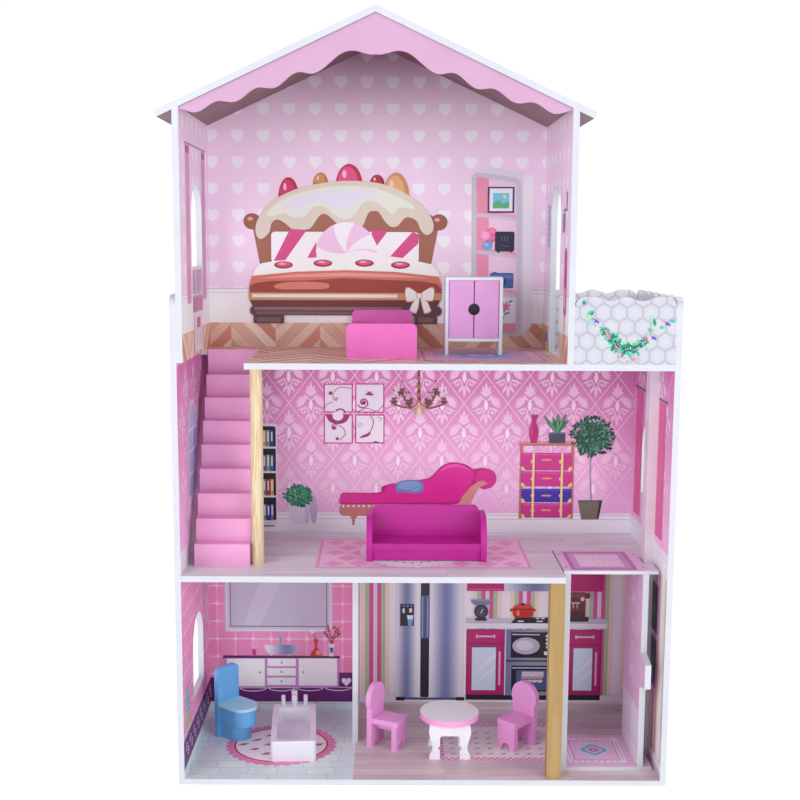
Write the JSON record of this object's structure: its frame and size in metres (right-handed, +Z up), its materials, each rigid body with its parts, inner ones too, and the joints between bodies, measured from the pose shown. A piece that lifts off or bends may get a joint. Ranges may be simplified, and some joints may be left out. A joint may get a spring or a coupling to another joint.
{
  "type": "wooden dollhouse",
  "caption": "Open-fronted three-storey wooden dollhouse with pitched roof, terrace, stairs, sliding lift cabin and loose painted wooden furniture.",
  "frame": {"origin": "bottom centre of the bounding box, on the surface that the house stands on", "axes": "+Z up, +X to the right seen from the open front, +Y from the open front to the back panels"},
  "size_m": [0.746, 0.284, 1.13],
  "materials": {
    "floor_board": "printed wood decor on white board",
    "wall_board": "printed pattern on white board",
    "back_board": "printed pattern on white board",
    "roof_board": "white painted board, mauve underside",
    "fascia_paint": "satin light pink paint",
    "terrace_board": "printed hexagon tiles on white board",
    "stair_paint": "satin pink paint",
    "pine": "clear varnished pine",
    "oak": "clear varnished wood",
    "rail_paint": "white paint",
    "screw_steel": "zinc plated",
    "lift_board": "printed pattern on white board",
    "bed_paint": "satin pink paint",
    "wardrobe_white": "white paint",
    "wardrobe_pink": "satin lilac pink paint",
    "sofa_paint": "satin magenta paint",
    "toilet_blue": "satin blue paint",
    "toilet_lid_blue": "satin light blue paint",
    "bath_white": "moulded, smooth",
    "table_pink": "white top, pink edge",
    "table_white": "white paint",
    "chair_paint": "satin pink paint"
  },
  "bodies": {
    "house": {"bottom_panel": "floor_board", "second_floor": "floor_board", "third_floor": "floor_board", "left_side_wall": "wall_board", "right_side_wall": "wall_board", "ground_partition": "wall_board", "ground_back_panel": "back_board", "second_back_panel": "back_board", "attic_back_panel": "back_board", "attic_left_wall": "wall_board", "attic_right_wall": "wall_board", "roof_left_panel": "roof_board", "roof_right_panel": "roof_board", "roof_fascia": "fascia_paint", "terrace_front_rail": "terrace_board", "terrace_rear_rail": "terrace_board", "stair_stringers": "stair_paint", "stair_risers": "stair_paint", "stair_treads": "stair_paint", "stair_post": "pine", "corner_post": "oak", "lift_rail": "rail_paint", "house_screws": "screw_steel", "back_panel_nails": "screw_steel"},
    "lift": {"lift_floor": "lift_board", "lift_roof": "lift_board", "lift_left_wall": "lift_board", "lift_right_wall": "lift_board", "lift_screws": "screw_steel"},
    "bed": {"bed_footboard": "bed_paint", "bed_headboard": "bed_paint", "bed_side_rails": "bed_paint", "bed_base": "bed_paint"},
    "wardrobe": {"wardrobe_sides": "wardrobe_white", "wardrobe_top": "wardrobe_white", "wardrobe_bottom": "wardrobe_white", "wardrobe_back": "wardrobe_white", "wardrobe_hinge_pins": "screw_steel"},
    "wardrobe_door_left": {"wardrobe_left_door": "wardrobe_pink"},
    "wardrobe_door_right": {"wardrobe_right_door": "wardrobe_pink"},
    "sofa": {"sofa_arms": "sofa_paint", "sofa_back": "sofa_paint", "sofa_seat": "sofa_paint", "sofa_apron": "sofa_paint"},
    "toilet": {"toilet_back_board": "toilet_blue", "toilet_base": "toilet_blue", "toilet_bowl": "toilet_blue", "toilet_lid": "toilet_lid_blue"},
    "bathtub": {"bathtub_shell": "bath_white", "bathtub_taps": "bath_white", "bathtub_spout": "bath_white"},
    "table": {"table_top": "table_pink", "table_legs": "table_white"},
    "chair_left": {"chair_left_back": "chair_paint", "chair_left_seat": "chair_paint", "chair_left_legs": "chair_paint"},
    "chair_right": {"chair_right_back": "chair_paint", "chair_right_seat": "chair_paint", "chair_right_legs": "chair_paint"}
  },
  "joints": [
    {"name": "lift_slide", "type": "slide", "parent": "house", "child": "lift", "axis": [0, 0, 1], "range_m": [0, 0.302]},
    {"name": "bed_lift_off", "type": "slide", "parent": "house", "child": "bed", "axis": [0, 0, 1], "range_m": [0, 0.12]},
    {"name": "wardrobe_lift_off", "type": "slide", "parent": "house", "child": "wardrobe", "axis": [0, 0, 1], "range_m": [0, 0.12]},
    {"name": "wardrobe_left_door_hinge", "type": "hinge", "parent": "wardrobe", "child": "wardrobe_door_left", "pos_m": [0.05, 0.004, 0.70525], "axis": [0, 0, -1], "range_deg": [0, 90]},
    {"name": "wardrobe_right_door_hinge", "type": "hinge", "parent": "wardrobe", "child": "wardrobe_door_right", "pos_m": [0.122, 0.004, 0.70525], "axis": [0, 0, 1], "range_deg": [0, 90]},
    {"name": "sofa_lift_off", "type": "slide", "parent": "house", "child": "sofa", "axis": [0, 0, 1], "range_m": [0, 0.12]},
    {"name": "toilet_lift_off", "type": "slide", "parent": "house", "child": "toilet", "axis": [0, 0, 1], "range_m": [0, 0.12]},
    {"name": "bathtub_lift_off", "type": "slide", "parent": "house", "child": "bathtub", "axis": [0, 0, 1], "range_m": [0, 0.12]},
    {"name": "table_lift_off", "type": "slide", "parent": "house", "child": "table", "axis": [0, 0, 1], "range_m": [0, 0.12]},
    {"name": "chair_left_lift_off", "type": "slide", "parent": "house", "child": "chair_left", "axis": [0, 0, 1], "range_m": [0, 0.12]},
    {"name": "chair_right_lift_off", "type": "slide", "parent": "house", "child": "chair_right", "axis": [0, 0, 1], "range_m": [0, 0.12]}
  ]
}
